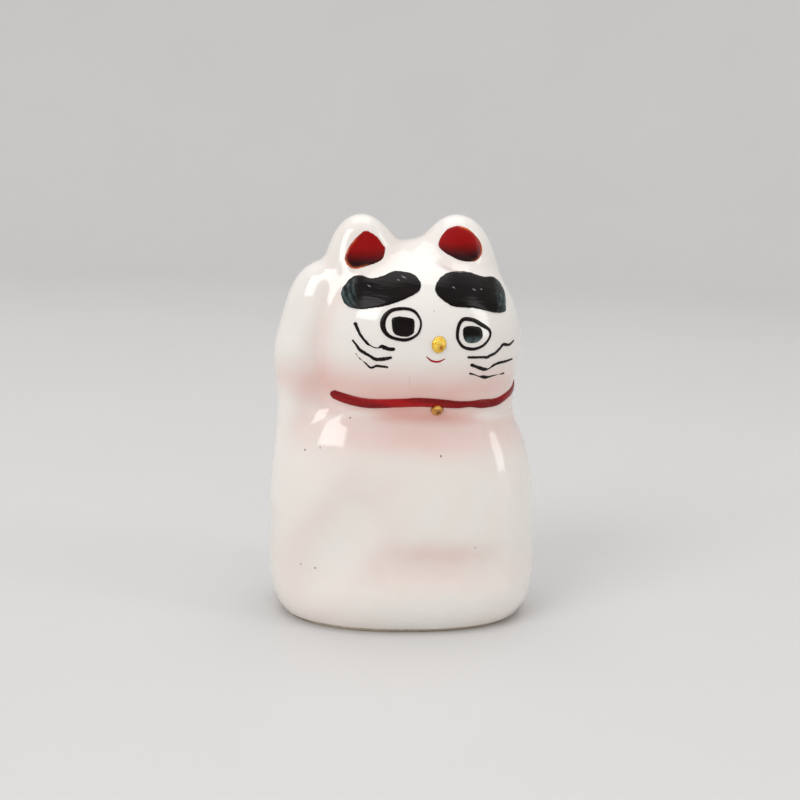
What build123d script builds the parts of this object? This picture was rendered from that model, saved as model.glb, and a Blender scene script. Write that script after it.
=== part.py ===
from build123d import *
import os
import numpy as np

os.makedirs("parts", exist_ok=True)

# Nominal size of the figure, which the masses below are shares of.
width = 54.8
depth = 36.6
height = 80.0

# Clay, glaze and enamel.
wall = 3.0
glaze_thick = 0.3
enamel_thick = 0.25
glaze_stop = 1.0
foot_ring = 4.4
plate_thick = 3.5
vent_hole = 5.5

# Painted work.
whisker_line = 0.55
eye_margin = 0.3
mouth_line_width = 0.6
eye_line = 0.7
eye_size = 7.4
pupil_size = 4.1
collar_line = 1.7
nose_size = 3.2
bell_size = 2.3

# Softness of the joins between the modelled masses, and the turn of the head.
join = 1.3
arm_join = 0.9
ear_hollow_edge = 0.6
fold_edge = 2.6
head_turn = 7.0

# Every position and half size below is in hundredths of the width, depth and height.
size = np.array([width, depth, height])


def turn_x(angle):
    c, s = np.cos(angle), np.sin(angle)
    return np.array([[1, 0, 0], [0, c, -s], [0, s, c]])


def turn_y(angle):
    c, s = np.cos(angle), np.sin(angle)
    return np.array([[c, 0, s], [0, 1, 0], [-s, 0, c]])


def turn_z(angle):
    c, s = np.cos(angle), np.sin(angle)
    return np.array([[c, -s, 0], [s, c, 0], [0, 0, 1]])


def mass(p, centre, half, plan=2.0, side=2.0, turn=None, below=None):
    # Distance to a rounded block; larger plan and side powers make it squarer.
    q = p - np.array(centre) * size / 100
    if turn is not None:
        q = q @ turn
    a, b, h = np.array(half) * size / 100
    if below is not None:
        h = np.where(q[..., 2] < 0, below * height / 100, h)
    x = np.abs(q[..., 0] / a) + 1e-9
    y = np.abs(q[..., 1] / b) + 1e-9
    z = np.abs(q[..., 2] / h) + 1e-9
    s = (x**plan + y**plan) ** (1 / plan)
    k = (s**side + z**side) ** (1 / side)
    ks = (s / k) ** (side - 1)
    kz = (z / k) ** (side - 1) / h
    gx = ks * (x / s) ** (plan - 1) / a
    gy = ks * (y / s) ** (plan - 1) / b
    return (k - 1) / np.sqrt(gx * gx + gy * gy + kz * kz)


def limb(p, start, end, start_radius, end_radius):
    # Distance to a round bar that changes radius between two points.
    a = np.array(start) * size / 100
    b = np.array(end) * size / 100
    t = np.clip(((p - a) @ (b - a)) / ((b - a) @ (b - a)), 0, 1)
    radius = start_radius + t * (end_radius - start_radius)
    return np.linalg.norm(p - a - t[..., None] * (b - a), axis=-1) - radius


def blend(parts, soft):
    stack = np.stack(parts)
    low = stack.min(0)
    return low - soft * np.log(np.exp(-(stack - low) / soft).sum(0))


def carve(body, hollow, soft):
    return -blend([-body, hollow], soft)


def torso(p):
    return mass(p, (0.2, 2.7, 18.8), (48.6, 48.1, 38.8), 2.5, 2.9, below=26.3)


def neck(p):
    return mass(p, (3.7, 1.6, 50.0), (33.4, 38.8, 22.5), 2.3, 2.6)


def head_frame(p):
    return (p - np.array([2.9, 0, 0]) * size / 100) @ turn_z(np.radians(head_turn))


def head(p):
    return mass(head_frame(p), (-0.2, 0, 68.8), (37.4, 47.0, 21.2), 2.2, 2.2)


def fold(p):
    # Hollow between the raised side and the foot, low on the front.
    return limb(p, (-39.2, -56.2, 12.5), (-21.0, -63.0, 28.7), 0.164 * depth, 0.175 * depth)


def figure(p):
    h = head_frame(p)
    ear_right = mass(h, (-20.2, -4.1, 82.6), (13.9, 16.9, 16.0), turn=turn_y(-0.10))
    ear_left = mass(h, (13.0, -4.1, 82.6), (14.9, 16.9, 16.4), turn=turn_y(-0.03))
    crown = mass(h, (-0.4, 2.7, 81.4), (20.1, 21.9, 10.8))
    bib = mass(p, (4.0, 1.0, 53.2), (30.5, 39.6, 3.8))
    web = mass(p, (-31.9, 4.4, 57.5), (10.9, 23.5, 23.8), 2.0, 2.3)
    arm = limb(p, (-39.6, -8.2, 30.0), (-38.6, -7.1, 65.0), 0.077 * width, 0.069 * width)
    paw = mass(p, (-33.0, -7.1, 71.9), (12.5, 16.9, 15.3), 2.1, 2.5, turn_y(0.22))
    foot = mass(p, (0.9, 2.2, 7.5), (45.6, 49.2, 11.9), 2.5, 2.3)
    body = blend([torso(p), neck(p), head(p), ear_right, ear_left, crown, web, bib], join)
    body = blend([body, blend([arm, paw], join)], arm_join)
    body = blend([body, foot], join)
    chest = limb(p, (-16.4, -45.9, 50.2), (19.0, -46.4, 49.8), 0.082 * depth, 0.082 * depth)
    lap = limb(p, (-4.0, -54.5, 17.0), (32.0, -51.5, 16.2), 0.082 * depth, 0.082 * depth)
    for crease in (chest, lap):
        body = carve(body, crease, join)
    hollow_right = mass(p, (-17.7, -27.0, 90.4), (9.6, 5.2, 5.9), turn=turn_x(-0.42))
    hollow_left = mass(p, (16.4, -21.5, 92.0), (9.8, 5.2, 5.7), turn=turn_x(-0.36))
    for hollow in (hollow_right, hollow_left):
        body = carve(body, hollow, ear_hollow_edge)
    return carve(body, fold(p), fold_edge)


def cavity(p):
    # Inside face of the clay: the large masses drawn in by the wall.
    inset = wall + glaze_thick
    core = blend([torso(p), neck(p), head(p)], join) + inset
    return carve(core, fold(p) - inset, fold_edge)


def surface(shape, level, side, plate, count):
    # Curved face where a shape's distance equals a level. side 1 is the front, -1 the back.
    # Lines leave a flat plate inside the figure and fan out past its rim.
    centre_z, reach_x, reach_z = np.array(plate) / 100 * (height, width, height)
    u = np.linspace(-1.06, 1.06, count)
    across, up = np.meshgrid(u, u, indexing="ij")
    x3, z3 = across**3, up**3
    total = 1 + x3**2 + z3**2
    way = np.stack([2 * x3 / total, -side * (1 - x3**2 - z3**2) / total, 2 * z3 / total], -1)
    start_x = across * reach_x * (1 - 0.35 * ((up + 1) / 2) ** 3)
    start = np.stack([start_x, 0 * start_x, centre_z + reach_z * up], -1)
    steps = np.linspace(0, max(width, height), 300)
    outside = np.stack([shape(start + t * way) > level for t in steps])
    first = np.argmax(outside, axis=0)
    low, high = steps[np.maximum(first - 1, 0)], steps[first]
    for _ in range(36):
        middle = (low + high) / 2
        within = shape(start + middle[..., None] * way) < level
        low = np.where(within, middle, low)
        high = np.where(within, high, middle)
    grid = start + high[..., None] * way
    rows = [[Vector(*point) for point in row] for row in grid]
    return Face.make_surface_from_array_of_points(rows, tol=0.02, min_deg=3, max_deg=3)


def half_block(side, bottom):
    # A block that holds one half of the figure, its flat side on the mould seam.
    seam = Align.MAX if side > 0 else Align.MIN
    block = Box(1.3 * width, depth, 1.1 * height, align=(Align.CENTER, seam, Align.MIN))
    return Pos(0, 0, bottom) * block


def cut(solid, face, side):
    # Divides a solid along a face and gives the part round the middle, then the rest.
    pieces = []
    for group in solid.split(face, keep=Keep.BOTH):
        for piece in group if isinstance(group, list) else [group]:
            pieces += list(piece.solids())
    middle = Vector(0, -0.1 * depth * side, 0.45 * height)
    inner = [piece for piece in pieces if piece.is_inside(middle)]
    outer = [piece for piece in pieces if not piece.is_inside(middle)]
    return inner[0], max(outer, key=lambda piece: piece.volume)


def largest(shape):
    return max(shape.solids(), key=lambda solid: solid.volume)


outer_plate = (48.8, 36.5, 35.0)
cavity_plate = (45.0, 18.2, 30.0)


def half(side):
    # One half of the figure as nested layers: enamel skin, glaze, solid clay and the hollow.
    block = half_block(side, 0)
    block = cut(block, surface(figure, enamel_thick, side, outer_plate, 53), side)[0]
    glazed, skin = cut(block, surface(figure, 0, side, outer_plate, 53), side)
    clay, glaze = cut(glazed, surface(figure, -glaze_thick, side, outer_plate, 53), side)
    hollow = cut(half_block(side, plate_thick), surface(cavity, 0, side, cavity_plate, 31), side)[0]
    return skin, glazed, glaze, clay, hollow


def reach(direction, level):
    # How far the underside of the figure extends from its middle.
    t = np.linspace(0, width, 4001)
    points = t[:, None] * np.array(direction)
    return float(t[np.argmax(figure(points) > level)])


def front_depth(x, z):
    # Depth of the front glaze face at a point of the front view.
    y = np.linspace(-depth, 0, 8001)
    points = np.stack([np.full_like(y, x), y, np.full_like(y, z)], -1)
    return float(y[np.argmax(figure(points) < 0)])


def closed(points):
    return Wire([Edge.make_spline([Vector(x, 0, z) for x, z in points], periodic=True)])


def placed(points):
    return [(x * width / 100, z * height / 100) for x, z in points]


def oval(centre, wide, tall, square=2.0):
    # Points round an oval in the front view; a higher square value fills its corners.
    (x, z), = placed([centre])
    turns = np.linspace(0, 2 * np.pi, 16, endpoint=False)
    c, s = np.cos(turns), np.sin(turns)
    r = (np.abs(c) ** square + np.abs(s) ** square) ** (-1 / square)
    return [(x + wide / 2 * i, z + tall / 2 * j) for i, j in zip(r * c, r * s)]


def stroke(points, line, thin_end=0.5):
    # A brush stroke: full width in the middle, narrower at both ends.
    path = Edge.make_spline([Vector(x, 0, z) for x, z in placed(points)])
    left, right = [], []
    for t in np.linspace(0, 1, 11):
        spot, way = path.position_at(t), path.tangent_at(t)
        reach_out = line / 2 * (1 - (1 - thin_end) * abs(2 * t - 1) ** 3)
        aside = Vector(-way.Z, 0, way.X) * reach_out
        left.append(spot + aside)
        right.append(spot - aside)
    start_tip = path.position_at(0) - path.tangent_at(0) * line * thin_end / 2
    end_tip = path.position_at(1) + path.tangent_at(1) * line * thin_end / 2
    outline = [
        Edge.make_spline(left),
        Edge.make_three_point_arc(left[-1], end_tip, right[-1]),
        Edge.make_spline(right[::-1]),
        Edge.make_three_point_arc(right[0], start_tip, left[0]),
    ]
    return Face(Wire(outline))


def paint(face, skin, side=1):
    # Enamel laid on the glaze inside an outline of the front view.
    prism = Solid.extrude(face, Vector(0, -side * depth, 0))
    return largest(skin & prism)


def off_the_eyes(face):
    # Keeps a brush mark clear of both eye rings.
    for ring_centre, _, share in eyes.values():
        round_eye = eye_size * share + 2 * eye_margin
        eye = Face(closed(oval(ring_centre, round_eye, 0.95 * round_eye)))
        face = max((face - eye).faces(), key=lambda piece: piece.area)
    return face


def bead(centre, wide, tall, deep, glazed):
    # A domed drop of gold that sits on the glaze.
    (x, z), = placed([centre])
    ball = scale(Sphere(0.5), by=(wide, 2 * deep, tall))
    return largest(Pos(x, front_depth(x, z), z) * ball - glazed)


skin_front, glazed_front, glaze_front, clay_front, hollow_front = half(1)
skin_back, glazed_back, glaze_back, clay_back, hollow_back = half(-1)

nodes = {}

# Middle of each eye ring, middle of its pupil, and its share of the eye size.
eyes = {"right": ((-5.6, 74.7), (-5.3, 74.3), 1.0), "left": ((18.7, 72.8), (18.7, 72.4), 0.93)}

# Dark red linings of the ears.
linings = {
    "ear_lining_right": [
        (-17.5, 95.0), (-12.6, 93.0), (-10.6, 90.0), (-13.5, 87.0),
        (-21.7, 86.1), (-24.1, 88.0), (-22.3, 92.0),
    ],
    "ear_lining_left": [
        (16.1, 96.5), (20.8, 94.8), (23.7, 91.4), (21.9, 88.5),
        (14.2, 87.8), (9.5, 89.2), (10.6, 93.2),
    ],
}

# Brush marks of the eyebrows.
eyebrows = {
    "eyebrow_right": [
        (-24.1, 82.4), (-20.1, 84.4), (-15.1, 83.8), (-10.2, 84.5), (-5.1, 85.4), (-1.1, 85.0),
        (0.7, 83.4), (-2.9, 80.5), (-11.1, 78.1), (-21.9, 77.4), (-25.2, 79.5),
    ],
    "eyebrow_left": [
        (5.3, 83.4), (9.5, 85.4), (17.9, 85.6), (24.5, 85.0), (29.6, 84.4),
        (32.8, 81.8), (32.1, 77.4), (25.0, 78.0), (15.9, 78.9), (8.9, 80.4),
    ],
}
for name, points in linings.items():
    nodes[name] = paint(Face(closed(placed(points))), skin_front)
for name, points in eyebrows.items():
    nodes[name] = paint(off_the_eyes(Face(closed(placed(points)))), skin_front)

# Eyes: a thin ring and a squarish pupil on each side.
for name, (ring_centre, pupil_centre, share) in eyes.items():
    ring_size = eye_size * share
    hole_size = ring_size - 2 * eye_line
    outer_ring = closed(oval(ring_centre, ring_size, 0.95 * ring_size))
    inner_ring = closed(oval(ring_centre, hole_size, 0.95 * hole_size))
    nodes["eye_ring_" + name] = paint(Face(outer_ring, [inner_ring]), skin_front)
    dot = oval(pupil_centre, pupil_size * share, 0.92 * pupil_size * share, 2.6)
    nodes["pupil_" + name] = paint(Face(closed(dot)), skin_front)

# Whiskers, three each side, and the mouth.
whiskers = {
    "whisker_right_1": [(-21.2, 74.5), (-19.2, 71.5), (-16.8, 70.0), (-12.6, 69.1), (-8.0, 69.0)],
    "whisker_right_2": [(-21.7, 70.4), (-19.0, 68.1), (-15.1, 66.8), (-8.9, 67.1)],
    "whisker_right_3": [(-20.6, 67.5), (-16.6, 64.8), (-9.9, 64.9)],
    "whisker_left_1": [(16.8, 67.4), (24.1, 67.1), (30.1, 69.6), (34.7, 70.2)],
    "whisker_left_2": [(18.1, 65.4), (24.5, 64.2), (34.7, 65.6)],
    "whisker_left_3": [(18.2, 63.3), (23.9, 62.2), (31.8, 62.8)],
}
for name, points in whiskers.items():
    nodes[name] = paint(off_the_eyes(stroke(points, whisker_line)), skin_front)
mouth = stroke([(2.7, 67.6), (5.5, 66.6), (8.8, 67.1)], mouth_line_width)
nodes["mouth_line"] = paint(mouth, skin_front)

# Collar: a band that runs round the left side and dies out behind the raised arm.
collar_front = [
    (-28.4, 57.2), (-23.2, 56.5), (-15.0, 56.0), (7.5, 55.8),
    (23.0, 55.6), (30.8, 55.9), (36.0, 57.2), (42.0, 58.8), (60.0, 58.8),
]
collar_back = [(-29.0, 58.4), (-10.0, 57.6), (15.0, 57.8), (42.0, 58.8), (60.0, 58.8)]
band_front = paint(stroke(collar_front, collar_line, 0.8), skin_front)
band_back = paint(stroke(collar_back, collar_line, 0.8), skin_back, -1)
nodes["collar"] = largest(band_front + band_back)

# Gold nose and bell.
nodes["nose_bead"] = bead((6.6, 70.1), 0.9 * nose_size, 1.1 * nose_size, 0.28 * nose_size, glazed_front)
bell = bead((7.8, 54.3), bell_size, bell_size, 0.4 * bell_size, glazed_front)
nodes["collar_bell"] = largest(bell - nodes["collar"])

# Base plate, luted into a recess of the foot.
foot_sides = [reach(way, -glaze_thick) for way in ((1, 0, 0), (-1, 0, 0), (0, 1, 0), (0, -1, 0))]
plate_x = (foot_sides[0] + foot_sides[1]) / 2 - foot_ring
plate_y = (foot_sides[2] + foot_sides[3]) / 2 - foot_ring
plate_middle = Vector((foot_sides[0] - foot_sides[1]) / 2, (foot_sides[2] - foot_sides[3]) / 2, 0)
turns = np.linspace(0, 2 * np.pi, 32, endpoint=False)
corner_x = plate_x * np.sign(np.cos(turns)) * np.abs(np.cos(turns)) ** 0.8
corner_y = plate_y * np.sign(np.sin(turns)) * np.abs(np.sin(turns)) ** 0.8
outline = [plate_middle + Vector(x, y, 0) for x, y in zip(corner_x, corner_y)]
plate = Solid.extrude(Face(Wire([Edge.make_spline(outline, periodic=True)])), Vector(0, 0, plate_thick))
vent = Cylinder(vent_hole / 2, plate_thick, align=(Align.CENTER, Align.CENTER, Align.MIN))
nodes["base_plate"] = largest(plate - Pos(*plate_middle) * vent)

# Clay halves.
nodes["front_shell"] = largest(clay_front - hollow_front - plate)
nodes["back_shell"] = largest(clay_back - hollow_back - plate)

# Glaze over each half, held back from the foot.
foot_zone = Box(2 * width, 4 * depth, 2 * glaze_stop)
nodes["glaze_front"] = largest(glaze_front - foot_zone)
nodes["glaze_back"] = largest(glaze_back - foot_zone)

# The frame's origin is the middle of the underside.
points = np.array([tuple(p) for solid in nodes.values() for p in solid.tessellate(0.05)[0]])
low, high = points.min(0), points.max(0)
shift = Pos(-(low[0] + high[0]) / 2, -(low[1] + high[1]) / 2, -low[2])
for name, solid in nodes.items():
    export_step(shift * solid, f"parts/{name}.step")
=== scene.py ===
import math

import bpy
import numpy as np
from mathutils import Matrix, Vector


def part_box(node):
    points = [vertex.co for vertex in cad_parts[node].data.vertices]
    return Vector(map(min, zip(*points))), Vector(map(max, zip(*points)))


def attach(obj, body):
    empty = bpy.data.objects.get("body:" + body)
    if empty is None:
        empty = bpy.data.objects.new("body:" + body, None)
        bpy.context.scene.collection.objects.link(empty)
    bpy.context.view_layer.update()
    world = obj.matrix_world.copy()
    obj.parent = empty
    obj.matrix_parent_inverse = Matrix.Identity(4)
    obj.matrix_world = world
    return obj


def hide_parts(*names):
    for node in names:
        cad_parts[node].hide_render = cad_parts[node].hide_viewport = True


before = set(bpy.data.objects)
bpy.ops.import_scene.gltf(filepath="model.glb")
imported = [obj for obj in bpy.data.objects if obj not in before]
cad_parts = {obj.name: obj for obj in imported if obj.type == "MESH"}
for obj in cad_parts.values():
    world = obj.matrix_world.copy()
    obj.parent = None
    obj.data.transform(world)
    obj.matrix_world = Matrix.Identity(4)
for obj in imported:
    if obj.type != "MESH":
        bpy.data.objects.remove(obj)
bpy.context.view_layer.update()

mm = 0.001
figureSize = np.array([54.8, 36.6, 80.0])  # width, depth and height in millimetres
print("frame loaded")


# The modelled form, as distances to rounded masses in millimetres; places are in hundredths of figureSize.

def turnX(angle):
    c, s = np.cos(angle), np.sin(angle)
    return np.array([[1, 0, 0], [0, c, -s], [0, s, c]])


def turnY(angle):
    c, s = np.cos(angle), np.sin(angle)
    return np.array([[c, 0, s], [0, 1, 0], [-s, 0, c]])


def turnZ(angle):
    c, s = np.cos(angle), np.sin(angle)
    return np.array([[c, -s, 0], [s, c, 0], [0, 0, 1]])


def mass(p, centre, half, plan=2.0, side=2.0, turn=None, below=None):
    # superellipsoid: (((x/a)^plan + (y/b)^plan)^(side/plan) + (z/h)^side)^(1/side) - 1, over its slope
    q = p - np.array(centre) * figureSize / 100
    if turn is not None:
        q = q @ turn
    a, b, h = np.array(half) * figureSize / 100
    if below is not None:
        h = np.where(q[..., 2] < 0, below * figureSize[2] / 100, h)
    x = np.abs(q[..., 0] / a) + 1e-9
    y = np.abs(q[..., 1] / b) + 1e-9
    z = np.abs(q[..., 2] / h) + 1e-9
    s = (x**plan + y**plan) ** (1 / plan)
    k = (s**side + z**side) ** (1 / side)
    ks = (s / k) ** (side - 1)
    kz = (z / k) ** (side - 1) / h
    gx = ks * (x / s) ** (plan - 1) / a
    gy = ks * (y / s) ** (plan - 1) / b
    return (k - 1) / np.sqrt(gx * gx + gy * gy + kz * kz)


def limb(p, start, end, startRadius, endRadius):
    # distance to a round bar whose radius changes evenly from one end to the other
    a = np.array(start) * figureSize / 100
    b = np.array(end) * figureSize / 100
    t = np.clip(((p - a) @ (b - a)) / ((b - a) @ (b - a)), 0, 1)
    radius = startRadius + t * (endRadius - startRadius)
    return np.linalg.norm(p - a - t[..., None] * (b - a), axis=-1) - radius


def blend(parts, soft):
    stack = np.stack(parts)
    low = stack.min(0)
    return low - soft * np.log(np.exp(-(stack - low) / soft).sum(0))


def carve(body, hollow, soft):
    return -blend([-body, hollow], soft)


form = {"join": 1.3, "armJoin": 0.9, "earHollowEdge": 0.6, "foldEdge": 2.6, "headTurn": 7.0, "ripple": 0.05}


def ripple(p):
    # slow unevenness of a hand-finished surface: a sum of crossed sine waves
    x, y, z = p[..., 0], p[..., 1], p[..., 2]
    wave = np.sin(0.31 * x + 0.9 + 1.3 * np.sin(0.13 * z)) * np.sin(0.27 * z + 0.21 * y + 0.4)
    wave = wave + 0.6 * np.sin(0.57 * z - 0.33 * x + 2.1) * np.sin(0.49 * x + 0.38 * y + 1.7)
    return form["ripple"] * wave


def smoothFigure(p):
    p = np.asarray(p, float)
    h = (p - np.array([2.9, 0, 0]) * figureSize / 100) @ turnZ(np.radians(form["headTurn"]))
    torso = mass(p, (0.2, 2.7, 18.8), (48.6, 48.1, 38.8), 2.5, 2.9, below=26.3)
    neck = mass(p, (3.7, 1.6, 50.0), (33.4, 38.8, 22.5), 2.3, 2.6)
    head = mass(h, (-0.2, 0, 68.8), (37.4, 47.0, 21.2), 2.2, 2.2)
    earRight = mass(h, (-20.2, -4.1, 82.6), (13.9, 16.9, 16.0), turn=turnY(-0.10))
    earLeft = mass(h, (13.0, -4.1, 82.6), (14.9, 16.9, 16.4), turn=turnY(-0.03))
    crown = mass(h, (-0.4, 2.7, 81.4), (20.1, 21.9, 10.8))
    web = mass(p, (-31.9, 4.4, 57.5), (10.9, 23.5, 23.8), 2.0, 2.3)
    arm = limb(p, (-39.6, -8.2, 30.0), (-38.6, -7.1, 65.0), 0.077 * figureSize[0], 0.069 * figureSize[0])
    paw = mass(p, (-33.0, -7.1, 71.9), (12.5, 16.9, 15.3), 2.1, 2.5, turnY(0.22))
    foot = mass(p, (0.9, 2.2, 7.5), (45.6, 49.2, 11.9), 2.5, 2.3)
    bib = mass(p, (4.0, 1.0, 53.2), (30.5, 39.6, 3.8))
    body = blend([torso, neck, head, earRight, earLeft, crown, web, bib], form["join"])
    body = blend([body, blend([arm, paw], form["join"])], form["armJoin"])
    body = blend([body, foot], form["join"])
    chest = limb(p, (-16.4, -45.9, 50.2), (19.0, -46.4, 49.8), 0.082 * figureSize[1], 0.082 * figureSize[1])
    lap = limb(p, (-4.0, -54.5, 17.0), (32.0, -51.5, 16.2), 0.082 * figureSize[1], 0.082 * figureSize[1])
    for crease in (chest, lap):
        body = carve(body, crease, form["join"])
    hollowRight = mass(p, (-17.7, -27.0, 90.4), (9.6, 5.2, 5.9), turn=turnX(-0.42))
    hollowLeft = mass(p, (16.4, -21.5, 92.0), (9.8, 5.2, 5.7), turn=turnX(-0.36))
    for hollow in (hollowRight, hollowLeft):
        body = carve(body, hollow, form["earHollowEdge"])
    fold = limb(p, (-39.2, -56.2, 12.5), (-21.0, -63.0, 28.7), 0.164 * figureSize[1], 0.175 * figureSize[1])
    return carve(body, fold, form["foldEdge"])


def figure(p):
    return smoothFigure(p) + ripple(np.asarray(p, float))


def march(start, way, lift, far, steps=48):
    # first distance along each ray where the figure's distance reaches lift, from a scan and halvings
    t = np.linspace(0, far, steps)
    outside = np.stack([figure(start + k * way) - lift > 0 for k in t])
    first = np.argmax(outside, axis=0)
    low, high = t[np.maximum(first - 1, 0)], t[first]
    for _ in range(16):
        middle = (low + high) / 2
        out = figure(start + middle[..., None] * way) - lift > 0
        high = np.where(out, middle, high)
        low = np.where(out, low, middle)
    return start + high[..., None] * way


def frontPoints(x, z, lift):
    # points of the front face at given places of the front view, raised off it by lift
    x, z = np.broadcast_arrays(np.asarray(x, float), np.asarray(z, float))
    lift = np.broadcast_to(np.asarray(lift, float), x.shape)
    t = np.linspace(-figureSize[1] * 0.62, 4.0, 40)
    inside = np.stack([figure(np.stack([x, np.full_like(x, y), z], -1)) - lift < 0 for y in t])
    first = np.argmax(inside, axis=0)
    low, high = t[np.maximum(first - 1, 0)], t[first]
    for _ in range(16):
        middle = (low + high) / 2
        within = figure(np.stack([x, middle, z], -1)) - lift < 0
        high = np.where(within, middle, high)
        low = np.where(within, low, middle)
    return np.stack([x, (low + high) / 2, z], -1)


def makePiece(name, points, faces):
    # points in figure millimetres, moved into the CAD frame
    mesh = bpy.data.meshes.new(name)
    mesh.from_pydata(((points + frameShift) * mm).tolist(), [], faces)
    mesh.update()
    mesh.shade_smooth()
    piece = bpy.data.objects.new(name, mesh)
    bpy.context.scene.collection.objects.link(piece)
    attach(piece, "root")
    return piece


def addNumbers(piece, name, values):
    # a number for every point, for the materials to read
    layer = piece.data.attributes.new(name, "FLOAT", "POINT")
    layer.data.foreach_set("value", np.asarray(values, np.float32).ravel())


def ringFaces(rows, columns):
    # quads between neighbouring rows of a grid whose columns run round a loop
    i = np.arange(rows - 1)[:, None]
    j = np.arange(columns)[None, :]
    k = (j + 1) % columns
    a, b, c, d = i * columns + j, i * columns + k, (i + 1) * columns + k, (i + 1) * columns + j
    return np.stack([a + 0 * b, b, c, d + 0 * b], -1).reshape(-1, 4)


def facingOut(points, faces):
    # signed volume by fans; turns every face round when it is negative
    p = points[np.asarray(faces)]
    volume = np.einsum("ij,ij->i", p[:, 0], np.cross(p[:, 1], p[:, 2])).sum()
    volume += np.einsum("ij,ij->i", p[:, 0], np.cross(p[:, 2], p[:, 3])).sum()
    return faces if volume > 0 else faces[:, ::-1]


def seededWaves(seed, count, low, high):
    # numbers for a sum of sine waves: how fast, how strong and where each starts
    rng = np.random.default_rng(seed)
    speed = rng.uniform(low, high, count)
    return speed, rng.uniform(0.4, 1.0, count) / np.sqrt(speed / low), rng.uniform(0, 2 * np.pi, count)


def waveAlong(t, seed, count=8, low=2, high=20):
    speed, strength, start = seededWaves(seed, count, low, high)
    return (strength * np.sin(np.asarray(t)[..., None] * np.round(speed) + start)).sum(-1) / np.sqrt(count)


# glazed body
body = {
    "across": 170,        # cells over each half, side to side
    "up": 170,            # cells from foot to crown
    "innerUp": 85,
    "glazeStop": 1.0,     # bare foot below the glaze
    "glazeThick": 0.3,
    "rolledEdge": ((0.12, 0.10), (0.5, 0.16), (0.88, 0.10)),  # way in through the glaze, and drop
    "reachX": 36.5,       # flat plate that the rays leave from, in hundredths of width and height
    "topZ": 83.8,
    "fanStart": 0.3,
}


def sheet(side, lift, across, up):
    # One half as a height over a fanned plate. Rays leave a flat plate inside the figure,
    # level at the foot, and turn outwards towards the mould seam by the cube of the place.
    x = np.linspace(-1, 1, across + 1)
    x = np.sin(x * np.pi / 2) * 0.3 + x * 0.7
    t = np.linspace(0, 1, up + 1)
    t = t * 0.75 + 0.25 * np.sin(t * np.pi / 2)
    X, T = np.meshgrid(x, t)
    rise = np.clip((T - body["fanStart"]) / (1 - body["fanStart"]), 0, 1)
    P, Q = X**3, rise**3
    u, v = P * np.sqrt(1 - Q * Q / 2), Q * np.sqrt(1 - P * P / 2)
    r = u * u + v * v
    way = np.stack([2 * u, -side * (1 - r), 2 * v], -1) / (1 + r)[..., None]
    top = body["topZ"] / 100 * figureSize[2]
    z = body["glazeStop"] + (top - body["glazeStop"]) * T
    x0 = X * body["reachX"] / 100 * figureSize[0] * (1 - 0.35 * T**3)
    start = np.stack([x0, 0 * x0, z], -1)
    return march(start, way, lift, 0.6 * figureSize[0])


def wholeSkin(lift, across, up):
    # front and back sheets joined along the seam at the sides and over the top
    front, back = sheet(1, lift, across, up), sheet(-1, lift, across, up)
    return np.concatenate([front, back[:, -2:0:-1]], axis=1)


def closeGlaze():
    across, up, innerUp = body["across"], body["up"], body["innerUp"]
    outer = wholeSkin(0.0, across, up)
    inner = wholeSkin(-body["glazeThick"], across, innerUp)
    columns = 2 * across
    edge = [outer[0] * (1 - share) + inner[0] * share - [0, 0, drop] for share, drop in body["rolledEdge"]]
    points = np.concatenate([outer[::-1].reshape(-1, 3)] + edge + [inner.reshape(-1, 3)])
    rows = (up + 1) + len(edge) + (innerUp + 1)
    faces = ringFaces(rows, columns)
    fold = np.arange(len(points))
    j = np.arange(1, across)
    fold[columns - j] = j                                    # outer top row, first in the list
    last = (rows - 1) * columns
    fold[last + columns - j] = last + j                      # inner top row, last in the list
    faces = fold[faces]
    used = np.unique(faces)
    remap = np.zeros(len(points), int)
    remap[used] = np.arange(len(used))
    return points[used], remap[faces]


def dropDoubles(faces):
    # quads with two corners alike become triangles, and those with no area left go
    same = faces == np.roll(faces, 1, axis=1)
    triangles = faces[same.sum(1) == 1]
    kept = ~same[same.sum(1) == 1]
    return faces[same.sum(1) == 0].tolist() + triangles[kept].reshape(-1, 3).tolist()


def footReach(way):
    # how far the clay underside reaches from the middle
    t = np.linspace(0, figureSize[0], 4001)
    return t[np.argmax(smoothFigure(t[:, None] * np.array(way)) > -body["glazeThick"])]


def middleShift():
    # the base plate lies midway between the foot's sides; its CAD place gives the shift into the frame
    reach = [footReach(way) for way in ((1, 0, 0), (-1, 0, 0), (0, 1, 0), (0, -1, 0))]
    low, high = (np.array(corner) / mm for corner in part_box("base_plate"))
    middle = (low + high) / 2
    return np.array([middle[0] - (reach[0] - reach[1]) / 2, middle[1] - (reach[2] - reach[3]) / 2, 0])


def normals(p):
    eps = 0.05
    slope = np.stack([figure(p + d) - figure(p - d) for d in np.eye(3) * eps], -1)
    return slope / np.maximum(np.linalg.norm(slope, axis=-1, keepdims=True), 1e-9)


def poolingAndShadeOf(p):
    # warmer glaze in hollows, where the distance a step outside falls short of the step, at two step lengths:
    # partly real pooling and partly painted shade; and on faces that hang over, which is painted shade only
    n = normals(p)
    near, wide = ((step - figure(p + n * step) + figure(p)) / step for step in (2.4, 5.5))
    atEars = np.clip((p[..., 2] - 63) / 5, 0, 1)
    hollow = np.maximum(near, 0.75 * wide) * (1 - 0.65 * atEars)
    under = np.clip(-n[..., 2] - 0.03, 0, 1) * np.clip((p[..., 2] - 6) / 10, 0, 1)
    return np.clip(2.4 * hollow, 0, 1), np.clip(1.9 * under, 0, 1)


frameShift = middleShift()
points, faces = closeGlaze()
faces = facingOut(points, faces)
glaze = makePiece("glazedBody", points, dropDoubles(faces))
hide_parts("glaze_front", "glaze_back")
# painted shade: pink where the glaze lies in hollows (partly real pooling) and pink under overhangs
hollowPoolingAndShade, underPaintedShade = poolingAndShadeOf(points)
addNumbers(glaze, "hollow", hollowPoolingAndShade)
addNumbers(glaze, "under", underPaintedShade)
print("glazed body made, shift", frameShift.round(3))


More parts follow.
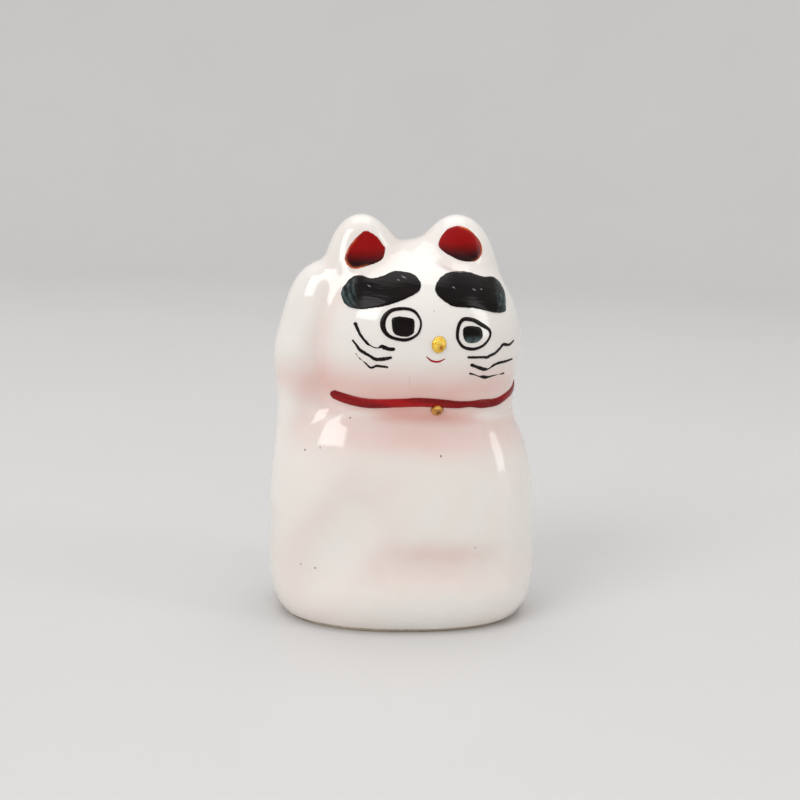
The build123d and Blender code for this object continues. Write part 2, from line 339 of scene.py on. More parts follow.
def throughPoints(points, count, closed=False):
    # smooth curve through points: a cubic for each span whose end slopes are half the step between the
    # neighbours, then sampled at even lengths
    p = np.asarray(points, float)
    if closed:
        q, spans = np.concatenate([p[-1:], p, p[:2]]), len(p)
    else:
        q, spans = np.concatenate([2 * p[:1] - p[1:2], p, 2 * p[-1:] - p[-2:-1]]), len(p) - 1
    t = np.linspace(0, spans, 60 * spans + 1)
    k = np.minimum(t.astype(int), spans - 1)
    f = (t - k)[:, None]
    a, b, c, d = q[k], q[k + 1], q[k + 2], q[k + 3]
    curve = 0.5 * (2 * b + (c - a) * f + (2 * a - 5 * b + 4 * c - d) * f**2 + (3 * b - a - 3 * c + d) * f**3)
    far = np.concatenate([[0], np.cumsum(np.linalg.norm(np.diff(curve[:, :2], axis=0), axis=1))])
    at = np.linspace(0, far[-1], count, endpoint=not closed)
    if not closed:
        at = far[-1] * (at / far[-1] - 0.6 * np.sin(2 * np.pi * at / far[-1]) / (2 * np.pi))
    return np.stack([np.interp(at, far, column) for column in curve.T], -1), at, far[-1]


def makeShell(name, grid, material, replaced, numbers=None, ring=False):
    # a closed skin from a grid of rings; the first and last ring are single points unless the rings join up
    rows, columns = grid.shape[:2]
    if ring:
        points = grid.reshape(-1, 3)
        faces = ringFaces(rows + 1, columns) % (rows * columns)
    else:
        points = np.concatenate([grid[1:-1].reshape(-1, 3), grid[[0, -1], 0]])
        inner = (rows - 2) * columns
        j = np.arange(columns)
        k = (j + 1) % columns
        lastRow = inner - columns
        firstCap = np.stack([j * 0 + inner, k, j, j], -1)
        lastCap = np.stack([j * 0 + inner + 1, lastRow + j, lastRow + k, lastRow + k], -1)
        faces = np.concatenate([ringFaces(rows - 2, columns), firstCap, lastCap])
    faces = facingOut(points - points.mean(0), faces)
    piece = makePiece(name, points, dropDoubles(faces))
    for key, value in (numbers or {}).items():
        addNumbers(piece, key, np.concatenate([value[1:-1].ravel(), value[[0, -1], 0]]))
    piece.data.materials.append(material)
    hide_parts(replaced)
    return piece


paint = {
    "sunk": 0.14,        # how far every mark reaches into the glaze
    "lineEvery": 0.085,  # length of one cell along a line
    "lineSides": 16,
    "fullWidth": 0.42,   # a narrower line stands lower
}


def acrossLine(width, height):
    # half ellipse above, shallow dip below, round a mark of the given widths
    a = np.linspace(0, 2 * np.pi, paint["lineSides"], endpoint=False)
    side, rise = np.cos(a)[None, :], np.sin(a)[None, :]
    tall = height * np.minimum(1, width / paint["fullWidth"])[:, None]
    return side, np.where(rise > 0, tall * np.abs(rise) ** 0.8, paint["sunk"] * rise)


def brushLine(name, path, material, replaced, height, ragged, seed, closed=False):
    # a raised line of paint: rows across a path whose third number is the width, each edge wandering by
    # its own waves
    length = throughPoints(path, 50, closed)[2]
    rows = max(24, int(length / paint["lineEvery"]))
    line, at, length = throughPoints(path, rows, closed)
    spot = line[:, :2]
    ahead = np.roll(spot, -1, 0) - np.roll(spot, 1, 0) if closed else np.gradient(spot, axis=0)
    ahead = ahead / np.linalg.norm(ahead, axis=1, keepdims=True)
    width = line[:, 2].copy()
    turn = 2 * np.pi * at / length
    left = 1 + ragged * waveAlong(turn * (1 if closed else 0.8), seed, 12, 3, length * 3.2)
    right = 1 + ragged * waveAlong(turn * (1 if closed else 0.8), seed + 40, 12, 3, length * 3.2)
    if not closed:
        start, end = width[0] / 2, width[-1] / 2
        width = width * np.sqrt(np.clip(1 - (1 - np.clip(at / start, 0, 1)) ** 2, 0, 1))
        width = width * np.sqrt(np.clip(1 - (1 - np.clip((length - at) / end, 0, 1)) ** 2, 0, 1))
    side, lift = acrossLine(width, height)
    reach = width[:, None] / 2 * np.where(side > 0, side * left[:, None], side * right[:, None])
    x = line[:, 0:1] - ahead[:, 1:2] * reach
    z = line[:, 1:2] + ahead[:, 0:1] * reach
    grid = frontPoints(x, z, lift)
    makeShell(name, grid, material, replaced, ring=closed)


def brushPatch(name, rim, middle, material, replaced, height, edge, ragged=0.06, seed=1, rings=30, around=144,
               relief=None, *, extra):
    # a patch of paint: rings shrink from its rim to a middle point; it climbs to full height within the edge
    # along a quarter ellipse, and its underside is sunk in the glaze
    middle = np.array(middle, float)
    outline = throughPoints(rim, around, closed=True)[0]
    out = outline - middle
    far = np.linalg.norm(out, axis=1)
    turn = np.linspace(0, 2 * np.pi, around, endpoint=False)
    far = far + ragged * waveAlong(turn, seed, 8, 4, 14)
    far = far + ragged * 0.8 * waveAlong(turn, seed + 9, 10, 18, around / 3)
    out = out / np.linalg.norm(out, axis=1, keepdims=True)
    share = np.concatenate([np.sin(np.linspace(0, np.pi / 2, rings)), [0.97, 0.5, 0.0]])
    flat = middle + share[:, None, None] * far[None, :, None] * out[None]
    inward = (1 - share[:, None]) * far[None, :]
    reach = far[None, :] if edge is None else edge
    lift = height * np.sqrt(np.clip(1 - (1 - np.clip(inward / reach, 0, 1)) ** 2, 0, 1))
    if relief is not None:
        lift = lift + relief(flat[..., 0], flat[..., 1]) * np.clip(inward / 0.3, 0, 1)
    lift[rings:] = -paint["sunk"]
    lift[rings - 1] = 0.0
    grid = frontPoints(flat[..., 0], flat[..., 1], lift)
    makeShell(name, grid, material, replaced, extra(flat[..., 0], flat[..., 1], inward))


class Wire:
    # wraps a socket so that plain sums make Math nodes
    def __init__(self, tree, socket):
        self.tree, self.socket = tree, socket

    def maths(self, operation, *values, clamp=False):
        node = self.tree.nodes.new("ShaderNodeMath")
        node.operation, node.use_clamp = operation, clamp
        for socket, value in zip(node.inputs, values):
            if isinstance(value, Wire):
                self.tree.links.new(value.socket, socket)
            else:
                socket.default_value = value
        return Wire(self.tree, node.outputs[0])

    def __add__(self, other): return self.maths("ADD", self, other)
    def __radd__(self, other): return self.maths("ADD", other, self)
    def __sub__(self, other): return self.maths("SUBTRACT", self, other)
    def __rsub__(self, other): return self.maths("SUBTRACT", other, self)
    def __mul__(self, other): return self.maths("MULTIPLY", self, other)
    def __rmul__(self, other): return self.maths("MULTIPLY", other, self)
    def clamped(self): return self.maths("ADD", self, 0.0, clamp=True)
    def largest(self, other): return self.maths("MAXIMUM", self, other)


class Finish:
    # one material with its main shader, and short ways to add nodes to it
    def __init__(self, name, **settings):
        self.material = bpy.data.materials.new(name)
        self.material.use_nodes = True
        self.tree = self.material.node_tree
        self.shader = self.tree.nodes["Principled BSDF"]
        for socket, value in settings.items():
            self.shader.inputs[socket.replace("_", " ")].default_value = value
        self.place = self.node("ShaderNodeTexCoord").outputs["Object"]

    def node(self, kind, settings=None, values=None):
        node = self.tree.nodes.new(kind)
        for key, value in (settings or {}).items():
            setattr(node, key, value)
        for key, value in (values or {}).items():
            if isinstance(value, Wire):
                self.tree.links.new(value.socket, node.inputs[key])
            elif isinstance(value, bpy.types.NodeSocket):
                self.tree.links.new(value, node.inputs[key])
            else:
                node.inputs[key].default_value = value
        return node

    def noise(self, scale, detail=3.0, rough=0.5, warp=0.0, stretch=None, turn=(0, 0, 0), place=None):
        place = place or self.place
        if stretch is not None:
            turned = {"Vector": place, "Scale": stretch, "Rotation": turn}
            place = self.node("ShaderNodeMapping", None, turned).outputs[0]
        values = {"Vector": place, "Scale": scale, "Detail": detail, "Roughness": rough, "Distortion": warp}
        return Wire(self.tree, self.node("ShaderNodeTexNoise", None, values).outputs["Fac"])

    def number(self, name):
        return Wire(self.tree, self.node("ShaderNodeAttribute", {"attribute_name": name}).outputs["Fac"])

    def levels(self, value, low, high):
        # 0 below low, 1 above high, smooth between
        node = self.node("ShaderNodeMapRange", {"interpolation_type": "SMOOTHSTEP"},
                         {"Value": value, "From Min": low, "From Max": high})
        return Wire(self.tree, node.outputs["Result"])

    def mix(self, share, first, second):
        node = self.node("ShaderNodeMix", {"data_type": "RGBA"}, {0: share})
        for key, value in ((6, first), (7, second)):
            if isinstance(value, Wire):
                self.tree.links.new(value.socket, node.inputs[key])
            else:
                node.inputs[key].default_value = (*value, 1)
        return Wire(self.tree, node.outputs[2])

    def near(self, spot, radius, stretch=(1, 1, 1)):
        # 1 within a small spot at a place on the figure, in millimetres, falling to 0 at its soft edge
        spot = (np.array(spot) + frameShift) * mm
        apart = self.node("ShaderNodeVectorMath", {"operation": "SUBTRACT"}, {0: self.place, 1: spot})
        scaled = self.node("ShaderNodeVectorMath", {"operation": "MULTIPLY"}, {0: apart.outputs[0], 1: stretch})
        length = self.node("ShaderNodeVectorMath", {"operation": "LENGTH"}, {0: scaled.outputs[0]})
        gap = Wire(self.tree, length.outputs["Value"])
        return 1.0 - self.levels(gap, radius * mm * 0.6, radius * mm * 1.3)

    def feed(self, socket, value):
        self.tree.links.new(value.socket, self.shader.inputs[socket])

    def bump(self, height, strength, distance):
        node = self.node("ShaderNodeBump", None, {"Strength": strength, "Distance": distance, "Height": height})
        self.tree.links.new(node.outputs[0], self.shader.inputs["Normal"])


glazeLook = {
    "thick": (0.85, 0.805, 0.75), "thin": (0.87, 0.845, 0.80), "cool": (0.81, 0.825, 0.79),
    # pooled: pink of the painted shade in hollows and under overhangs, partly real glaze pooling in the hollows
    "pooledAndShaded": (0.80, 0.42, 0.36), "pinhole": (0.24, 0.13, 0.08),
    "pinholes": ((-20.0, 34.5), (-17.2, 35.3), (5.3, 34.8), (-20.4, 12.3), (-17.7, 12.0), (-11.7, 41.2),
                 (12.6, 17.0),
                 (2.8, 62.2)),
    "sizes": (0.17, 0.13, 0.18, 0.13, 0.16, 0.16, 0.11, 0.09),
}


def whiteGlaze():
    look = Finish("whiteGlaze", Roughness=0.09, IOR=1.52, Coat_Weight=0.5, Coat_Roughness=0.02)
    cloud = look.levels(look.noise(38.0, 5.0, 0.6, 0.6), 0.32, 0.70)
    colour = look.mix(cloud, glazeLook["thick"], glazeLook["thin"])
    colour = look.mix(look.levels(look.noise(16.0, 3.0, 0.5), 0.52, 0.75) * 0.5, colour, glazeLook["cool"])
    # painted shade: a pink tint in hollows and under overhangs, partly real glaze pooling in the hollows
    pooledAndShaded = look.number("hollow") * 0.62 + look.number("under") * 0.58
    pooledAndShaded = pooledAndShaded * (0.75 + look.noise(70.0, 3.0) * 0.5)
    colour = look.mix(pooledAndShaded.clamped(), colour, glazeLook["pooledAndShaded"])
    speck = look.levels(look.noise(1500.0, 2.0, 0.5), 0.74, 0.80)
    colour = look.mix(speck * 0.25, colour, (0.60, 0.50, 0.42))
    marks = None
    for (x, z), size in zip(glazeLook["pinholes"], glazeLook["sizes"]):
        spot = look.near(frontPoints(x, z, 0.0), size, (1, 1, 0.75))
        marks = spot if marks is None else marks.largest(spot)
    hair = look.near(frontPoints(-1.3, 49.4, 0.0), 1.2, (22, 1, 1)) * 0.28
    colour = look.mix(marks.largest(hair), colour, glazeLook["pinhole"])
    look.feed("Base Color", colour)
    look.feed("Roughness", 0.07 + look.noise(60.0, 3.0) * 0.08 + marks * 0.4)
    look.bump(look.noise(220.0, 2.0, 0.5) + look.noise(900.0, 2.0, 0.5) * 0.08 - marks * 0.8, 0.35, 0.00007)
    return look.material


def blackEnamel(name, streaked):
    # near black with brush streaks; where the sheen number is high it turns grey green in fine arcs
    look = Finish(name, Roughness=0.2, Specular_IOR_Level=0.16)
    streak = look.noise(260.0, 4.0, 0.6, 0.3, stretch=(0.35, 1.0, 2.6))
    colour = look.mix(look.levels(streak, 0.45, 0.8), (0.0035, 0.0012, 0.0012), (0.010, 0.005, 0.005))
    if streaked:
        sheen = look.number("sheen")
        grain = 0.35 + look.levels(look.noise(700.0, 3.0, 0.6), 0.35, 0.65)
        colour = look.mix((sheen * grain).clamped(), colour, (0.075, 0.115, 0.115))
        colour = look.mix(look.number("glint"), colour, (0.75, 0.75, 0.74))
    colour = look.mix(look.levels(look.noise(1400.0, 2.0, 0.6), 0.72, 0.82) * 0.35, colour, (0.05, 0.04, 0.04))
    look.feed("Base Color", colour)
    look.feed("Roughness", 0.12 + look.levels(streak, 0.3, 0.9) * 0.22)
    look.bump(streak + look.noise(1200.0, 2.0) * 0.3, 0.35, 0.00006)
    return look.material


def redEnamel():
    look = Finish("collarRed", Roughness=0.2, Specular_IOR_Level=0.22)
    flow = look.noise(120.0, 4.0, 0.55, 0.4, stretch=(0.4, 0.4, 2.0))
    colour = look.mix(look.levels(flow, 0.35, 0.68), (0.19, 0.0010, 0.002), (0.42, 0.0025, 0.004))
    look.feed("Base Color", colour)
    look.feed("Roughness", 0.14 + flow * 0.12)
    look.bump(flow + look.noise(900.0, 2.0) * 0.2, 0.4, 0.0001)
    return look.material


def liningRed():
    # bright near the top and maroon at the bottom, a painted reflection above and painted shade below, with a
    # thin orange rim where the red wore through
    look = Finish("liningRed", Roughness=0.16, Specular_IOR_Level=0.2)
    rise = look.number("rise") + (look.noise(170.0, 3.0, 0.5) - 0.5) * 0.25
    # painted shade low in the lining and painted reflection high, by its rise number
    colour = look.mix(look.levels(rise, 0.10, 0.62), (0.018, 0.0006, 0.0012), (0.30, 0.0012, 0.0012))
    worn = look.number("wornRim") * look.levels(look.noise(420.0, 3.0), 0.32, 0.55)
    colour = look.mix(worn, colour, (0.72, 0.16, 0.05))
    look.feed("Base Color", colour)
    look.feed("Roughness", 0.10 + look.noise(300.0, 3.0) * 0.14)
    look.bump(look.noise(240.0, 3.0, 0.5, 0.3, stretch=(1.0, 1.0, 0.4)), 0.5, 0.0001)
    return look.material


def goldPaint(name, bright, deep, pit):
    look = Finish(name, Metallic=0.82, Roughness=0.3, Coat_Weight=0.3, Coat_Roughness=0.1)
    grain = look.levels(look.noise(1500.0, 4.0, 0.65, 0.8), 0.34, 0.62)
    colour = look.mix(grain, deep, bright)
    colour = look.mix(look.number("pit"), colour, pit)
    look.feed("Base Color", colour)
    look.feed("Roughness", 0.22 + grain * 0.2)
    look.bump(look.noise(1300.0, 4.0, 0.6, 0.6), 0.7, 0.00012)
    return look.material


def bareClay():
    look = Finish("bareClay", Roughness=0.86)
    grain = look.noise(900.0, 5.0, 0.65)
    grog = look.levels(look.noise(2600.0, 2.0, 0.5), 0.66, 0.74)
    colour = look.mix(look.levels(grain, 0.3, 0.7), (0.55, 0.45, 0.34), (0.76, 0.68, 0.57))
    colour = look.mix(grog * 0.6, colour, (0.30, 0.20, 0.13))
    look.feed("Base Color", colour)
    look.feed("Roughness", 0.78 + grain * 0.18)
    look.bump(grain + grog * 0.4, 0.6, 0.0002)
    return look.material


glaze.data.materials.append(whiteGlaze())
lineBlack = blackEnamel("lineBlack", False)
browBlack = blackEnamel("browBlack", True)
collarRed = redEnamel()
clay = bareClay()
for name in ("front_shell", "back_shell", "base_plate"):
    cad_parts[name].data.materials.clear()
    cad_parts[name].data.materials.append(clay)
print("glaze and clay coloured")


# the ears' red linings
linings = {
    "right": {"rim": [(-9.3, 75.8), (-7.4, 74.9), (-6.2, 73.4), (-5.7, 72.5), (-6.5, 70.6), (-9.1, 69.5),
                      (-11.2, 68.9),
                      (-12.5, 69.3), (-13.3, 70.9), (-12.1, 73.4), (-10.6, 75.1)],
              "middle": (-9.6, 72.2), "worn": (-1.0, -0.45), "seed": 3},
    "left": {"rim": [(6.7, 76.7), (9.0, 77.1), (11.4, 75.8), (13.0, 73.4), (12.6, 71.5), (11.2, 70.7),
                     (8.3, 70.9),
                     (5.4, 72.4), (4.5, 73.6), (5.3, 75.4)],
             "middle": (8.9, 73.8), "worn": (0.9, 0.5), "seed": 5},
}
earRed = liningRed()
for side, ear in linings.items():
    def liningNumbers(x, z, inward, ear=ear):
        low, high = min(p[1] for p in ear["rim"]), max(p[1] for p in ear["rim"])
        way = (x - ear["middle"][0]) * ear["worn"][0] + (z - ear["middle"][1]) * ear["worn"][1]
        # rise: height within the lining, which carries its painted reflection and shade
        return {"rise": (z - low) / (high - low),
                "wornRim": np.exp(-(inward / 0.30) ** 2) * np.clip(way / 2.2, 0, 1)}
    brushPatch("earLining_" + side, ear["rim"], ear["middle"], earRed, "ear_lining_" + side, 0.13, 0.45,
               ragged=0.05, seed=ear["seed"], extra=liningNumbers,
               relief=lambda x, z: 0.02 * np.sin(1.9 * x + 0.7 * np.sin(1.4 * z)) * np.sin(1.3 * z + 0.5))
print("ear linings made")


# the eyebrows, brushed from the nose outwards in several passes
brows = {
    "right": {"rim": [(-13.9, 64.7), (-13.3, 65.9), (-11.9, 67.4), (-10.3, 67.8), (-8.4, 67.4),
                      (-6.2, 68.0), (-4.3, 68.8),
                      (-2.4, 68.8), (-0.7, 68.4), (0.4, 67.2), (0.3, 65.9), (-1.3, 64.7), (-4.1, 63.5),
                      (-7.1, 62.6),
                      (-10.2, 62.0), (-12.5, 62.2), (-13.6, 63.3)],
              "middle": (-6.8, 65.4), "outer": -13.9, "way": 1, "reach": 3.0, "seed": 11,
              "glints": ((-8.9, 66.1, 0.35), (-3.6, 67.4, 0.25), (-2.6, 67.9, 0.5))},
    "left": {"rim": [(3.1, 65.8), (3.7, 67.4), (5.4, 68.6), (7.7, 69.0), (10.6, 68.7), (13.0, 68.0),
                     (15.0, 67.9),
                     (16.6, 66.9), (17.5, 64.9), (17.4, 62.6), (17.0, 61.7), (14.6, 61.7), (11.5, 62.5),
                     (8.7, 62.8),
                     (6.2, 63.1), (4.2, 64.3)],
             "middle": (10.4, 65.4), "outer": 17.5, "way": -1, "reach": 2.4, "seed": 17,
             "glints": ((10.6, 65.9, 0.4), (12.1, 65.9, 0.2), (6.6, 66.3, 0.3))},
}
for side, brow in brows.items():
    def browRelief(x, z, brow=brow):
        # bristle tracks: fine waves across the stroke that bend round at its outer end
        bend = z - brow["middle"][1] + 0.10 * (x - brow["middle"][0])
        tracks = np.sin(7.5 * bend + 1.2 * np.sin(0.9 * x))
        tracks = tracks + 0.6 * np.sin(13.0 * bend + 2.0 * np.sin(0.5 * x + 1.0))
        arcs = np.sin(6.5 * np.hypot(x - brow["middle"][0], 1.15 * bend))
        end = np.clip(1 - (x - brow["outer"]) * brow["way"] / (1.3 * brow["reach"]), 0, 1)
        return 0.004 * tracks * (1 - end) + 0.022 * arcs * end

    def browNumbers(x, z, inward, brow=brow):
        end = np.clip(1 - (x - brow["outer"]) * brow["way"] / brow["reach"], 0, 1) ** 0.8
        bend = z - brow["middle"][1] + 0.10 * (x - brow["middle"][0])
        arcs = 0.5 + 0.5 * np.sin(6.5 * np.hypot(x - brow["middle"][0], 1.15 * bend) + 0.6)
        glint = np.zeros_like(x)
        for gx, gz, size in brow["glints"]:
            away = np.hypot((x - gx) / (0.6 * size), (z - gz + 0.45 * (x - gx)) / 0.07)
            glint = np.maximum(glint, 0.6 * np.exp(-away**2))
        return {"sheen": end * (0.35 + 0.65 * arcs), "glint": glint}
    brushPatch("eyebrow_" + side, brow["rim"], brow["middle"], browBlack, "eyebrow_" + side, 0.22, 0.5,
               ragged=0.075, seed=brow["seed"], rings=54, around=240, relief=browRelief, extra=browNumbers)
print("eyebrows made")


# eye rings, drawn in one turn with a loaded brush, and squarish pupils
rings = {
    "right": [(-2.8, 62.5, 0.60), (-0.9, 62.1, 0.55), (0.2, 60.7, 0.42), (0.3, 59.3, 0.40),
              (-0.4, 57.9, 0.44),
              (-2.2, 57.0, 0.60), (-4.5, 57.2, 0.62), (-5.9, 58.0, 0.78), (-6.5, 59.4, 1.0),
              (-6.2, 60.9, 0.92),
              (-4.9, 62.1, 0.66)],
    "left": [(8.7, 60.8, 0.72), (10.4, 60.5, 0.75), (11.9, 59.7, 0.75), (13.4, 58.8, 0.55),
             (13.8, 57.9, 0.45),
             (13.4, 56.9, 0.46), (12.4, 55.9, 0.50), (11.2, 55.4, 0.55), (10.0, 55.3, 0.62),
             (8.5, 55.7, 0.58),
             (7.5, 56.8, 0.55), (7.2, 58.0, 0.62), (7.4, 59.5, 0.66), (7.9, 60.4, 0.68)],
}
pupils = {
    "right": {"rim": [(-4.8, 60.7), (-3.6, 61.1), (-2.3, 61.0), (-1.0, 60.7), (-0.8, 59.6), (-1.0, 58.2),
                      (-2.0, 57.6),
                      (-3.4, 57.6), (-4.5, 58.1),
                      (-4.9, 59.5)], "middle": (-2.9, 59.3), "sheen": 0.0, "seed": 21},
    "left": {"rim": [(8.5, 59.3), (10.2, 59.5), (11.7, 59.1), (12.2, 58.0), (12.0, 57.2), (11.0, 56.5),
                     (9.7, 56.4),
                     (8.7, 56.9), (8.3, 58.0)], "middle": (10.3, 58.0), "sheen": 0.9, "seed": 23},
}
for k, side in enumerate(rings):
    brushLine("eyeRing_" + side, rings[side], lineBlack, "eye_ring_" + side, 0.18, 0.16, 31 + k, closed=True)
    pupil = pupils[side]
    brushPatch("pupil_" + side, pupil["rim"], pupil["middle"], browBlack, "pupil_" + side, 0.22, 0.45, 0.045,
               pupil["seed"], extra=lambda x, z, inward, pupil=pupil: {
                   "sheen": pupil["sheen"] * np.clip((pupil["middle"][1] - 0.1 - z) / 1.2, 0, 1), "glint": 0 * x})
print("eyes made")


# whiskers as (across, up, width); each thins and swells as the brush ran dry
whiskers = {
    "right_1": [(-11.5, 59.6, 0.80), (-11.0, 58.5, 0.55), (-10.5, 57.5, 0.50), (-9.8, 56.6, 0.50),
                (-9.1, 55.9, 0.48),
                (-8.6, 55.6, 0.22), (-7.9, 55.3, 0.21), (-7.2, 55.3, 0.24), (-6.6, 55.6, 0.70),
                (-6.1, 55.4, 0.78),
                (-5.4, 55.2, 0.70), (-4.2, 55.2, 0.66)],
    "right_2": [(-11.9, 56.4, 0.32), (-11.2, 55.6, 0.42), (-10.5, 54.7, 0.57), (-9.5, 54.1, 0.62),
                (-8.5, 53.6, 0.52),
                (-7.8, 53.2, 0.66), (-6.7, 53.2, 0.68), (-5.8, 53.4, 0.66), (-4.7, 53.7, 0.42)],
    "right_3": [(-11.2, 54.0, 0.14), (-10.8, 53.4, 0.05), (-10.4, 53.0, 0.20), (-10.0, 52.75, 0.05),
                (-9.7, 52.5, 0.18),
                (-9.3, 52.2, 0.30), (-8.8, 51.7, 0.36), (-8.3, 51.5, 0.40), (-7.5, 51.9, 0.45),
                (-6.6, 51.9, 0.47),
                (-5.3, 51.8, 0.34)],
    "left_1": [(9.3, 53.8, 0.44), (10.6, 53.7, 0.47), (12.1, 53.7, 0.47), (13.3, 53.6, 0.57),
               (14.0, 53.9, 0.56),
               (15.0, 54.3, 0.50), (16.1, 55.2, 0.52), (16.7, 55.7, 0.58), (18.0, 55.5, 0.50),
               (18.9, 55.9, 0.42),
               (19.3, 56.2, 0.34)],
    "left_2": [(10.0, 52.4, 0.74), (11.0, 52.0, 0.55), (12.0, 51.6, 0.68), (13.0, 51.3, 0.66),
               (13.8, 51.35, 0.26),
               (14.9, 52.0, 0.47), (16.0, 52.3, 0.52), (17.4, 52.4, 0.50), (19.2, 52.6, 0.34)],
    "left_3": [(9.9, 50.7, 0.42), (10.9, 50.4, 0.24), (11.9, 50.0, 0.22), (12.7, 49.85, 0.60),
               (13.4, 49.7, 0.62),
               (14.3, 49.8, 0.32), (15.4, 49.95, 0.20), (16.1, 50.0, 0.05), (16.7, 50.0, 0.26),
               (17.4, 50.1, 0.38)],
}
for k, (name, path) in enumerate(whiskers.items()):
    brushLine("whisker_" + name, path, lineBlack, "whisker_" + name, 0.15, 0.26, 51 + 3 * k)
brushLine("mouthLine", [(1.5, 54.0, 0.16), (2.4, 53.3, 0.34), (3.2, 53.05, 0.36), (4.0, 53.1, 0.34),
                        (5.1, 53.6, 0.14)],
          collarRed, "mouth_line", 0.12, 0.10, 77)
print("whiskers and mouth made")


# the red collar, from beside the raised arm round the left side to the back
collar = {
    "front": [(-15.2, 45.35, 1.75), (-12.3, 44.75, 2.0), (-8.6, 44.35, 1.95), (-3.5, 44.75, 1.75),
              (0.7, 45.05, 1.85),
              (4.4, 44.9, 1.7), (8.1, 44.55, 1.45), (10.6, 44.6, 1.2), (12.9, 44.5, 1.7), (15.9, 44.5, 1.5),
              (18.1, 45.15, 1.35)],
    "round": [(72, 46.0, 1.35), (86, 46.9, 1.4), (102, 47.1, 1.5), (125, 46.7, 1.6), (150, 46.3, 1.7),
              (180, 46.2, 1.7),
              (206, 46.1, 1.75), (226, 46.4, 1.6)],
    "axis": (2.0, 1.0), "height": 0.26, "ragged": 0.035, "seed": 91,
    "turnRadius": 17.0,  # turns an angle round the neck into a length
    "rows": 520,
}


def ringPoints(turn, z, lift):
    # points of the figure at a level, found along level rays from an upright axis
    turn, z = np.broadcast_arrays(turn, z)
    start = np.stack([np.full_like(z, collar["axis"][0]), np.full_like(z, collar["axis"][1]), z], -1)
    return march(start, np.stack([np.sin(turn), -np.cos(turn), 0 * turn], -1), lift, 32.0, 64)


def makeCollar():
    front = np.array(collar["front"])
    y = frontPoints(front[:, 0], front[:, 1], 0.0)[:, 1]
    turn = np.arctan2(front[:, 0] - collar["axis"][0], collar["axis"][1] - y)
    rest = np.array(collar["round"])
    radius = collar["turnRadius"]
    path = np.concatenate([np.stack([turn * radius, front[:, 1], front[:, 2]], -1),
                           np.stack([np.radians(rest[:, 0]) * radius, rest[:, 1], rest[:, 2]], -1)])
    line, at, length = throughPoints(path, collar["rows"])
    ahead = np.gradient(line[:, :2], axis=0)
    ahead = ahead / np.linalg.norm(ahead, axis=1, keepdims=True)
    width = line[:, 2]
    around = 2 * np.pi * at / length
    top = 1 + collar["ragged"] * waveAlong(around * 0.9, collar["seed"], 10, 6, 60)
    bottom = 1 + collar["ragged"] * waveAlong(around * 0.9, collar["seed"] + 5, 10, 6, 60)
    for far in (at, length - at):
        width = width * np.sqrt(np.clip(1 - (1 - np.clip(far / 0.85, 0, 1)) ** 2, 0, 1))
    side, lift = acrossLine(width, collar["height"])
    lift = np.where(lift > 0, lift ** 0.6 * collar["height"] ** 0.4, lift)
    reach = width[:, None] / 2 * np.where(side > 0, side * top[:, None], side * bottom[:, None])
    turnAt = (line[:, 0:1] - ahead[:, 1:2] * reach) / radius
    zAt = line[:, 1:2] + ahead[:, 0:1] * reach
    makeShell("collarBand", ringPoints(turnAt, zAt, lift), collarRed, "collar")


makeCollar()
print("collar made")


# two drops of gold: the nose with a swirled pit, and a darker bell under the collar
beads = {
    "noseDrop": {"node": "nose_bead", "middle": (3.8, 56.2), "half": (1.36, 1.56), "lean": -0.25, "height": 0.82,
                 "pit": (4.1, 55.6), "pitSize": 0.42, "pitDepth": 0.30, "seed": 101,
                 "finish": ("noseGold", (1.0, 0.74, 0.13), (0.80, 0.42, 0.03), (0.42, 0.13, 0.01))},
    "bellDrop": {"node": "collar_bell", "middle": (4.3, 43.5), "half": (1.2, 1.16), "lean": 0.0, "height": 0.86,
                 "pit": (4.5, 43.2), "pitSize": 0.5, "pitDepth": 0.14, "seed": 107,
                 "finish": ("bellGold", (0.78, 0.43, 0.09), (0.40, 0.17, 0.025), (0.20, 0.06, 0.01))},
}
for name, bead in beads.items():
    turn = np.linspace(0, 2 * np.pi, 12, endpoint=False)
    across, up = bead["half"][0] * np.cos(turn), bead["half"][1] * np.sin(turn)
    c, s = np.cos(bead["lean"]), np.sin(bead["lean"])
    rim = np.stack([bead["middle"][0] + c * across - s * up, bead["middle"][1] + s * across + c * up], -1)

    def beadRelief(x, z, bead=bead):
        # lumps of crossed waves, a pit, and a raised curl round it
        away = np.hypot(x - bead["pit"][0], z - bead["pit"][1])
        angle = np.arctan2(z - bead["pit"][1], x - bead["pit"][0])
        lumps = 0.05 * np.sin(5.3 * x + 1.4 * z + bead["seed"]) * np.sin(4.1 * z - 2.2 * x)
        curl = 0.07 * np.exp(-((away - 0.75) / 0.22) ** 2) * (0.6 + 0.4 * np.sin(2 * angle + 0.8))
        return lumps + curl - bead["pitDepth"] * np.exp(-((away / bead["pitSize"]) ** 2))

    def beadNumbers(x, z, inward, bead=bead):
        away = np.hypot(x - bead["pit"][0], z - bead["pit"][1])
        deep = 1.2 * np.exp(-((away / (0.9 * bead["pitSize"])) ** 2))
        return {"pit": np.clip(deep + 0.35 * np.exp(-(inward / 0.12) ** 2), 0, 1)}
    brushPatch(name, rim, bead["middle"], goldPaint(*bead["finish"]), bead["node"], bead["height"], None, 0.04,
               bead["seed"], 30, 72, beadRelief, extra=beadNumbers)
print("gold drops made")


studio = {
    "cameraTurn": -6.0, "cameraRise": 11.0, "distance": 229.0, "roll": 2.0, "lens": 52.0,
    "aim": (-1.2, 0.0, 42.5),
    "floorRadius": 0.75, "sweep": 0.5, "wall": 1.2,
}


